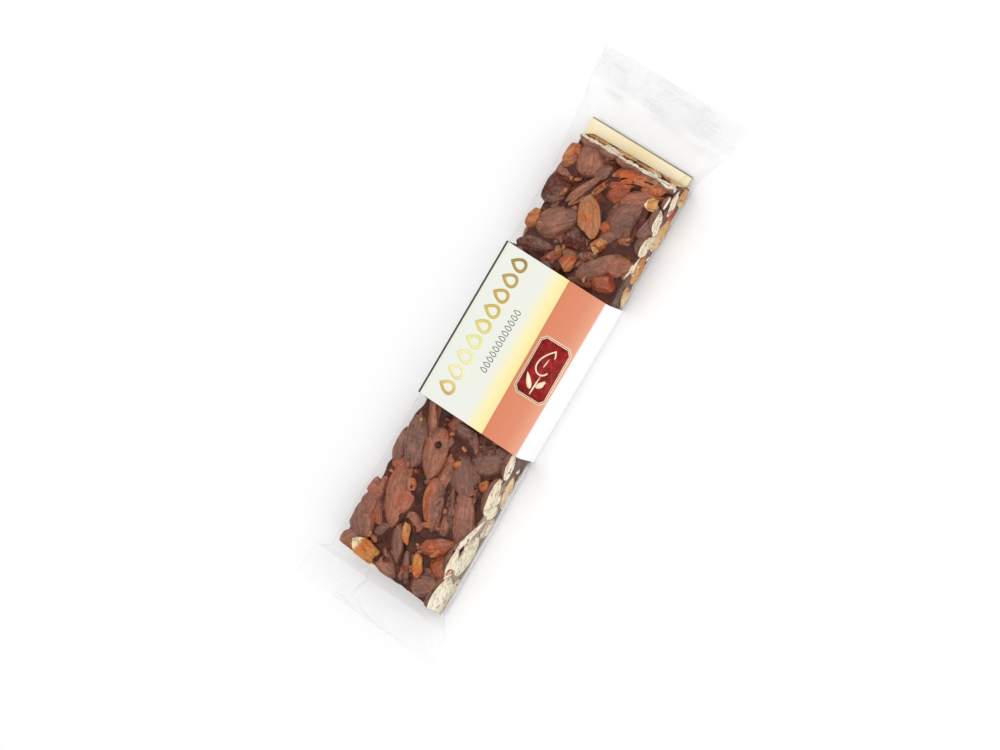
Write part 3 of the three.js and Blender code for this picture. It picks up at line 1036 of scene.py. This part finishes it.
# %% [markdown]
# ## The clear film
#
# The film is one closed tube. Between the seals it is drawn tight over the bar: it touches the
# highest almonds and sags a little between them. At each end it narrows in height, spreads in
# width and is pressed flat into a seal with fine crosswise crimps, and pleats run from the
# seal into the bag. The outline of a box is a sum of its left, right, bottom, top and corner
# values, so every ring is worked out from five numbers at once.

# %% The outline of the film at each place along it
film_edge = 1.4
crimp_pitch, crimp_height = 1.6, 0.35
curl_length, curl_height = 37.0, 0.5
seam_edge, seam_height = -9.3, 0.3
shoulder_near, shoulder_far = -87.4, 74.8
floor_near, floor_far = -87.85, 80.0
nut_foot, most_sag = 11.6, 1.9


def film_line(body, near, far, end):
    """Stations from one end of the film to the other, where near and far are its values at the seals."""
    return [(-half_length, end), (-seal_start, near), *body, (seal_start, far), (half_length, end)]


seal_heights = (seal_height, seal_height, seal_height)
seal_halves = (28.9, 28.7, seal_width / 2)
film_tops = film_line([(shoulder_near, bag_top), (shoulder_far, bag_top)], *seal_heights)
film_floors = film_line([(floor_near, 0), (floor_far, 0)], *seal_heights)
left_side = [(shoulder_near, bag_half), (58, bag_half), (shoulder_far, 23.35), (floor_far, 24.75)]
right_side = [
    (shoulder_near, bag_half + 1.1), (band_start - 25, bag_half + 0.9), (band_start - 2, bag_half),
    (shoulder_far, bag_half), (floor_far, 22.35),
]
film_left = film_line(left_side, *seal_halves)
film_right = film_line(right_side, *seal_halves)

# %% Shade painted in grey strokes where the film creases, in and near the seals
Streak = namedtuple("Streak", "x y length width turn dark")
streaks = [
    Streak(-17.4, 89.2, 9.5, 3.0, -4, 0.5),
    Streak(3.5, 90.0, 17.0, 4.6, -6, 0.42),
    Streak(4.6, 89.8, 6.0, 2.6, -10, 0.4),
    Streak(20.0, 88.6, 15.0, 4.4, 6, 0.34),
    Streak(-21.0, 97.5, 7.0, 1.6, -2, 0.24),
    Streak(7.0, 98.4, 9.0, 1.4, -2, 0.24),
    Streak(19.0, 97.6, 6.0, 1.2, 3, 0.22),
    Streak(-6.0, -92.3, 10.0, 1.0, 69, 0.5),
    Streak(-25.4, -89.4, 10.0, 0.8, 19, 0.45),
    Streak(-14.0, -88.2, 13.0, 1.8, 2, 0.24),
    Streak(-11.0, -100.4, 6.0, 0.5, 12, 0.35),
    Streak(-7.5, -101.0, 9.0, 0.5, -3, 0.45),
    Streak(-3.0, -99.4, 8.0, 0.5, -16, 0.35),
    Streak(-1.0, -100.6, 11.0, 0.5, -8, 0.45),
    Streak(4.0, -101.3, 12.0, 0.5, -3, 0.45),
    Streak(6.0, -100.2, 7.0, 0.5, -10, 0.3),
    Streak(13.0, -101.4, 9.0, 0.5, -2, 0.3),
]


def streak_shade(x, y):
    """How much shade is painted on the film at each point along its creases: soft grey strokes that fade at
    their ends.
    """
    shade = np.zeros(len(x))
    for streak in streaks:
        cos, sin = math.cos(math.radians(streak.turn)), math.sin(math.radians(streak.turn))
        far = (x - streak.x) * cos + (y - streak.y) * sin
        wide = (y - streak.y) * cos - (x - streak.x) * sin
        stroke = np.exp(-((2 * far / streak.length) ** 4) - (2 * wide / streak.width) ** 2)
        shade = np.maximum(shade, streak.dark * stroke)
    return shade


# %% Rings of the film
def film_rings():
    """The plain rings before any sag or pleat: places, outward directions and half heights."""
    spans = (110, 10)
    parts = [box_outline(*unit, spans)[0] for unit in np.eye(5)]
    directions = box_outline(-1, 1, -1, 1, 0.5, spans)[1]
    stations = np.concatenate([
        np.arange(0, seal_depth, 0.2) - half_length,
        np.arange(-seal_start, seal_start, 0.62),
        np.arange(seal_start, half_length, 0.2),
        [half_length],
    ])
    out_x, y, out_z = swept(directions, stations).T
    top, floor_z = along(film_tops, y), along(film_floors, y)
    half = np.maximum((top - floor_z) / 2, 0.16)
    middle = (top + floor_z) / 2
    corner = np.minimum(film_edge, half / 1.25)
    values = [-along(film_left, y), along(film_right, y), middle - half, middle + half, corner]
    x, _, z = sum(swept(part, stations) * value[:, None] for part, value in zip(parts, values)).T
    return x, y, z, out_x, out_z, half, len(stations), len(directions)


def film_points():
    """The points of the film with their marks, and how many rings and points round they are."""
    x, y, z, out_x, out_z, half, rings, around = film_rings()
    flat = 1 - 2 * half / bag_top
    tight = smooth_step(0.75, 0.0, flat)
    up, under = smooth_step(0.3, 0.95, out_z), smooth_step(0.3, 0.95, -out_z)
    off_band = 1 - within((band_start - 1, band_start + 1), (band_end - 1, band_end + 1), y)

    over = np.column_stack([x, y, np.full(len(y), nut_foot)])
    rise = rise_over(over, top_nuts, 0.2, -0.2, 1.6)
    inner = smooth_step(bag_half, bag_half - 3.5, np.abs(x))
    inner = inner * within((bar_near - 0.5, bar_near + 3), (bar_far - 2, bar_far + 2), y)
    z = z - np.clip(bag_top - nut_foot - rise, 0, most_sag) * inner * off_band * up

    pleats = 1 - 2 * np.abs(soft_noise(np.column_stack([x, y * 0.12, np.sign(out_z) * 4]), 3.4, 21))
    loose = within((0.0, 0.25), (0.75, 1.0), flat)
    z += loose * (0.55 * pleats + 0.35 * soft_noise(np.column_stack([x, y, out_z]), 4.0, 22))
    z += 0.1 * tight * up * soft_noise(np.column_stack([x, y * 0.4, 0 * z]), 6.0, 23) * off_band
    side = np.abs(out_x) * tight * off_band
    x -= np.sign(x) * side * (0.25 + 0.25 * soft_noise(np.column_stack([0 * x, y, z]), 5.0, 24))

    depth = np.abs(y) - seal_start
    phase = np.mod(depth / crimp_pitch, 1)
    crimp = crimp_height * (1 - 2 * np.abs(2 * phase - 1)) * smooth_step(0, crimp_pitch, depth)
    curl = curl_height * np.sin(2 * math.pi * (x + y) / curl_length) * flat
    strip = within((seam_edge, seam_edge + 0.3), (0.0, 0.3), x)
    waist = band_lift * within((band_start - 1, band_start - 0.3), (band_end + 0.3, band_end + 1), y)
    z += crimp + curl + under * (waist + seam_height * np.clip(half / 2, 0.25, 1) * (1 - strip))

    ends = [[0, -half_length, seal_height + curl[0]], [0, half_length, seal_height + curl[-1]]]
    points = np.vstack([np.column_stack([x, y, z]), ends])
    frost = smooth_step(-0.6, 0.4, depth) * np.where(y > 0, 1.0, 0.15)
    foot = smooth_step(0.6, 0.9, out_x) * smooth_step(4.2, 3.0, z) * tight
    foot = foot * smooth_step(band_start, band_start - 4, y)
    # Painted shade: a grey line along the side edges of the flat seals.
    painted_rim_shade = 0.6 * smooth_step(0.8, 1.0, np.abs(out_x)) * smooth_step(0.8, 1.0, flat)
    # The painted shade of the creases and the seal edges, kept off the underside.
    shade = np.maximum(painted_rim_shade, streak_shade(x, y) * (out_z > -0.1))
    own = {"frost": frost, "foot": foot, "loose": loose}
    marks = {label: np.append(values, [0, 0]) for label, values in own.items()}
    return points, {**marks, "shade": np.append(shade, [0.5, 0.5]), "grain": points}, rings, around


# %% Film: clear over the bar, frosted where it is crimped, with shade painted in grey along creases, crimps and edges
def film_material():
    material, tree, shader = new_material("clear_film")
    place = mark(tree, "grain", "Vector")
    cloud = mottled(tree, place, 9.0, 0.12)
    strokes = grooved(tree, place, 1.1, 3.0)
    # Painted shade: grey strokes along the crimps, in patches of the frosted seals.
    crimp_stroke_shade = times(tree, calculate(tree, "POWER", strokes["Valley"], 3.0), above(tree, cloud, 0.5, 0.62))
    crimp_stroke_shade = times(tree, crimp_stroke_shade, times(tree, mark(tree, "frost"), 0.16))
    shade = calculate(tree, "MAXIMUM", mark(tree, "shade"), crimp_stroke_shade)
    frost = times(tree, mark(tree, "frost"), times(tree, cloud, 0.34))
    haze = times(tree, mark(tree, "loose"), times(tree, cloud, 0.16, -0.03))
    milky = calculate(tree, "MAXIMUM", frost, haze)
    milky = calculate(tree, "MAXIMUM", milky, times(tree, mark(tree, "foot"), 0.7))
    seen = calculate(tree, "SUBTRACT", 1.0, node(tree, "ShaderNodeLightPath").outputs["Is Shadow Ray"])
    cover = times(tree, times(tree, shade, 0.5, milky), seen)
    tint = ramp(tree, cloud, (0.5, 231.1, 231.1, 231.1), (0.7, 229.8, 229.8, 233.7))
    set_inputs(tree, shader, {
        # The painted shade turns the film's colour towards dark grey and makes it less clear.
        "Base Color": blend(tree, shade, tint, (0.2, 0.2, 0.21, 1.0)),
        "Roughness": 0.35,
        "Alpha": cover,
        "Normal": bump(tree, strokes["Height"], 0.25, 0.2),
    })
    mirror = {"Base Color": (0.42, 0.42, 0.43, 1.0), "Metallic": 1.0, "Roughness": 0.12}
    gloss = node(tree, "ShaderNodeBsdfPrincipled", mirror)
    facing = node(tree, "ShaderNodeLayerWeight", {"Blend": 0.35}).outputs["Facing"]
    shine = times(tree, calculate(tree, "POWER", facing, 4.0), 0.9)
    both = node(tree, "ShaderNodeMixShader", {0: shine, 1: shader.outputs[0], 2: gloss.outputs[0]})
    set_inputs(tree, tree.nodes["Material Output"], {"Surface": both.outputs[0]})
    return material


film_shape, film_marks, *film_counts = film_points()
film_faces = swept_faces(*film_counts)
film = make_piece("clear_film", film_shape, film_faces, [film_material()], film_marks)
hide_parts("film_bag")

# %% [markdown]
# ## The paper band
#
# The band is a flat sleeve of paper with two rims, an outside and an inside. Where it is
# folded over the bar's edges the corners are round. The print is laid out by the place on the
# unrolled paper: a cream field, a yellow stripe that fades in from its left, a salmon field
# and a white side panel. A dark stripe on the left fold is painted shade, and the salmon is
# painted lighter towards the right fold, as light falling there.

# %% Paper with its fields of colour
band_half, band_top = band_high.x, band_high.z
fold = 2.05


def paper_material():
    material, tree, shader = new_material("band_paper")
    place = mark(tree, "grain", "Vector")
    across = node(tree, "ShaderNodeSeparateXYZ", {0: place}).outputs["X"]
    left, right = -24.0, 36.0
    fields = [
        # The dark stripe from -22 to -20.7 is painted shade on the left fold.
        (left, 246, 246, 244), (-22.0, 46, 38, 30), (-20.7, 34, 26, 20), (-20.6, 230, 230, 216),
        (-18.0, 229, 232, 223), (-2.0, 230, 232, 222), (1.9, 243, 234, 180), (5.8, 243, 226, 152),
        # From 15 to 20.5 the salmon is painted lighter towards the right fold, as light falling there.
        (5.9, 196, 120, 86), (6.5, 217, 128, 92), (15.0, 218, 136, 102), (20.5, 231, 160, 128),
        (20.9, 242, 242, 243),
    ]
    stops = [((x - left) / (right - left), *colour) for x, *colour in fields]
    print_colour = ramp(tree, above(tree, across, left, right), *stops)
    fibres = mottled(tree, place, 0.9, 0.5)
    set_inputs(tree, shader, {
        "Base Color": blend(tree, times(tree, fibres, 0.06), print_colour, rgb(190, 184, 172)),
        "Roughness": times(tree, fibres, 0.12, 0.36),
        "Specular IOR Level": 0.2,
        "Normal": bump(tree, fibres, 0.15, 0.05),
    })
    return material


# %% The sleeve of paper
def paper_dip(x, y):
    """How far the flat top of the paper sags between its folds."""
    place = np.column_stack([x, y, 0 * y])
    return -0.09 * (1 + soft_noise(place, 16.0, 32)) * smooth_step(band_half, band_half - 5, np.abs(x))


def fold_drop(x):
    """How far the paper has gone down round its fold at x."""
    past = np.clip(np.abs(x) - band_half + fold, 0, fold)
    return fold - np.sqrt(fold * fold - past * past)


def paper_band():
    """An outside and an inside that meet at both rims, with the place on the flat sheet at each point."""
    spans = (60, 14)
    outer, out_way = box_outline(-band_half, band_half, 0, band_top, fold, spans)
    inner_half, inner_top = band_half - paper, band_top - paper
    inner, _ = box_outline(-inner_half, inner_half, paper, inner_top, fold - paper, spans)
    between = np.linspace(band_start + 0.8, band_end - 0.8, 44)
    stations = np.concatenate([[band_start, band_start + 0.06], between, [band_end - 0.06, band_end]])
    count = len(outer)
    side, height = outer.T
    down = np.where(np.abs(side) > band_half - 1e-3, band_top - fold - height, 0)
    unrolled = side + np.where(side > 0, 1, -1) * down
    rings, places = [], []
    for section, order in ((outer, stations), (inner, stations[::-1])):
        for y in order:
            edge = math.exp(-min(y - band_start, band_end - y) / 1.2)
            ring = swept(section, [y])
            lift = np.minimum(0.12 * edge * soft_noise(ring, 7.0, 31), 0.0)
            ring[:, [0, 2]] += out_way * lift[:, None]
            ring[:, 2] += paper_dip(ring[:, 0], ring[:, 1]) * (out_way[:, 1] > 0.5)
            rings.append(ring)
            askew = 0.0155 * y * np.clip(1 - (unrolled / 20) ** 2, 0, 1)
            places.append(swept(np.column_stack([unrolled + askew, np.zeros(count)]), [y]))
    faces = tube_faces(len(rings), count).tolist() + rim_faces(len(rings), count)
    faces = [face[::-1] for face in faces]
    marks = {"grain": np.vstack(places)}
    return make_piece("paper_band", np.vstack(rings), faces, [paper_material()], marks)


sleeve = paper_band()
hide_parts("paper_band")

# %% [markdown]
# ## The print
#
# The fields of colour are in the paper itself. The small shapes of foil, whose sheen is painted
# into its colour, and of thick ink, which stands out, are thin solids on its face: a row of gold
# almond outlines, a row of dark drops, and a red plaque with a cream line and a sprig with one
# almond. Each is drawn as an outline, and a ring is an outline with a smaller copy of it cut out.

# %% Inks and foil
def ink(name, roughness, *stops, along_y=False):
    """An ink whose colour follows the mottling, or the pack's length."""
    material, tree, shader = new_material(name)
    place = mark(tree, "grain", "Vector")
    speck = mottled(tree, place, 2.4, 0.5)
    way = node(tree, "ShaderNodeSeparateXYZ", {0: place}).outputs["Y"]
    colour = ramp(tree, above(tree, way, -26.0, 28.0) if along_y else speck, *stops)
    set_inputs(tree, shader, {
        "Base Color": blend(tree, times(tree, speck, 0.1), colour, rgb(120, 100, 70)),
        "Roughness": times(tree, speck, 0.2, roughness),
        "Specular IOR Level": 0.2,
    })
    return material


# The foil's colour runs dark, bright and dark again along the pack: a painted sheen, as the ink is not
# metallic.
painted_foil_sheen = [
    (0.0, 186, 132, 66), (0.1, 228, 196, 108), (0.2, 246, 240, 176), (0.4, 242, 238, 160),
    (0.55, 222, 208, 96), (0.7, 208, 172, 72), (0.85, 196, 166, 86), (1.0, 158, 134, 60),
]
inks = [
    ink("gold_foil", 0.3, *painted_foil_sheen, along_y=True),
    ink("dark_ink", 0.5, (0.3, 62, 68, 62), (0.7, 84, 88, 80)),
    ink("red_plaque", 0.3, (0.36, 84, 2, 4), (0.5, 140, 0, 6), (0.64, 196, 26, 38)),
    ink("cream_line", 0.5, (0.3, 255, 232, 190), (0.7, 255, 244, 216)),
    ink("rust_line", 0.5, (0.3, 120, 44, 30), (0.7, 146, 62, 40)),
]
GOLD, DARK, RED, CREAM, RUST = range(5)


# %% Outlines
def almond_outline(length, width):
    """An outline with its point along +X."""
    angle = np.linspace(0, 2 * math.pi, 36, endpoint=False)
    wide = np.sin(angle) * np.sin(angle / 2) ** 0.9
    return np.column_stack([length / 2 * np.cos(angle), width / 2 * wide / wide.max()])


def plaque_outline(width, length, clip, per_side=7):
    """A rectangle with clipped corners."""
    x, y = width / 2, length / 2
    right = [(x - clip, -y), (x, clip - y), (x, y - clip), (x - clip, y)]
    corners = right + [(-x, y) for x, y in right[::-1]]
    starts, ends = np.array(corners), np.array(corners[1:] + corners[:1])
    steps = np.arange(per_side) / per_side
    return np.array([a + (b - a) * t for a, b in zip(starts, ends) for t in steps])


def set_down(outline, x, y, turn):
    """An outline turned and moved to its place on the band."""
    cos, sin = math.cos(math.radians(turn)), math.sin(math.radians(turn))
    return outline @ np.array([[cos, sin], [-sin, cos]]) + (x, y)


# %% Lay the shapes on the band
Shape = namedtuple("Shape", "outer inner ink level")
top_level = 4


def ring_shape(length, width, stroke, x, y, turn, ink_number, level=0):
    """An almond outline of even stroke."""
    inner = almond_outline(length - 2.6 * stroke, width - 2 * stroke) + (-0.25 * stroke, 0)
    outer = set_down(almond_outline(length, width), x, y, turn)
    return Shape(outer, set_down(inner, x, y, turn), ink_number, level)


def leaf_shape(length, width, x, y, turn):
    """A filled almond outline in cream, on the plaque."""
    return Shape(set_down(almond_outline(length, width), x, y, turn), None, CREAM, top_level)


gold_row = [ring_shape(6.6, 4.9, 1.05, -13.2, -21.2 + 5.84 * i, 180, GOLD) for i in range(9)]
dark_row = [ring_shape(2.9, 1.5, 0.24, -4.9, -9.9 + 1.98 * i, 180, DARK) for i in range(12)]
plaque_place = (13.6, 0.55, 1.0)
plaque_layers = [
    (13.0, 21.2, 1.75, CREAM),
    (12.3, 20.5, 1.6, RUST),
    (11.9, 20.1, 1.5, CREAM),
    (11.3, 19.5, 1.35, RED),
]
plaque = [
    Shape(set_down(plaque_outline(*size), *plaque_place), None, number, level)
    for level, (*size, number) in enumerate(plaque_layers)
]
sprig = [
    ring_shape(10.0, 5.8, 0.5, 13.5, 3.4, 80, CREAM, top_level),
    leaf_shape(7.6, 0.6, 13.8, -4.8, 88),
    leaf_shape(5.8, 1.8, 16.2, -3.2, 50),
    leaf_shape(5.8, 1.8, 10.9, -4.6, 130),
    leaf_shape(3.6, 0.4, 13.4, 3.2, 82),
]


def lay_print(shapes):
    """All printed shapes as one mesh of thin solids on the face of the band."""
    rows, faces, numbers = [], [], []
    base, foot = 0, 0.005
    for shape in shapes:
        top = 0.03 + 0.012 * shape.level
        loops = [(shape.outer, foot), (shape.outer, top)]
        count = len(shape.outer)
        if shape.inner is None:
            middle = shape.outer.mean(axis=0)[None]
            loops += [(middle, foot), (middle, top)]
            made = swept_faces(2, count)
        else:
            loops += [(shape.inner, top), (shape.inner, foot)]
            made = tube_faces(4, count).tolist() + rim_faces(4, count)
        rows += [np.column_stack([loop, np.full(len(loop), z)]) for loop, z in loops]
        faces += [[p + base for p in face] for face in made]
        numbers += [shape.ink] * len(made)
        base += sum(len(loop) for loop, _ in loops)
    x, y, z = np.vstack(rows).T
    points = np.column_stack([x, y, z + band_top + paper_dip(x, y) - fold_drop(x)])
    return make_piece("band_print", points, faces, inks, {"grain": points}, numbers)


lay_print(gold_row + dark_row + plaque + sprig)

# %% [markdown]
# ## The table
#
# A pale table top lies just under the pack.

# %% The table
floor_mesh = bpy.data.meshes.new("table_top")
floor_mesh.from_pydata([(-3, -3, 0), (3, -3, 0), (3, 3, 0), (-3, 3, 0)], [], [(0, 1, 2, 3)])
floor = bpy.data.objects.new("table_top", floor_mesh)
floor.location.z = -0.0002
bpy.context.scene.collection.objects.link(floor)
floor_look, floor_tree, floor_shader = new_material("pale_table")
set_inputs(floor_tree, floor_shader, {"Base Color": (0.94, 0.94, 0.94, 1.0), "Roughness": 0.7})
floor_mesh.materials.append(floor_look)
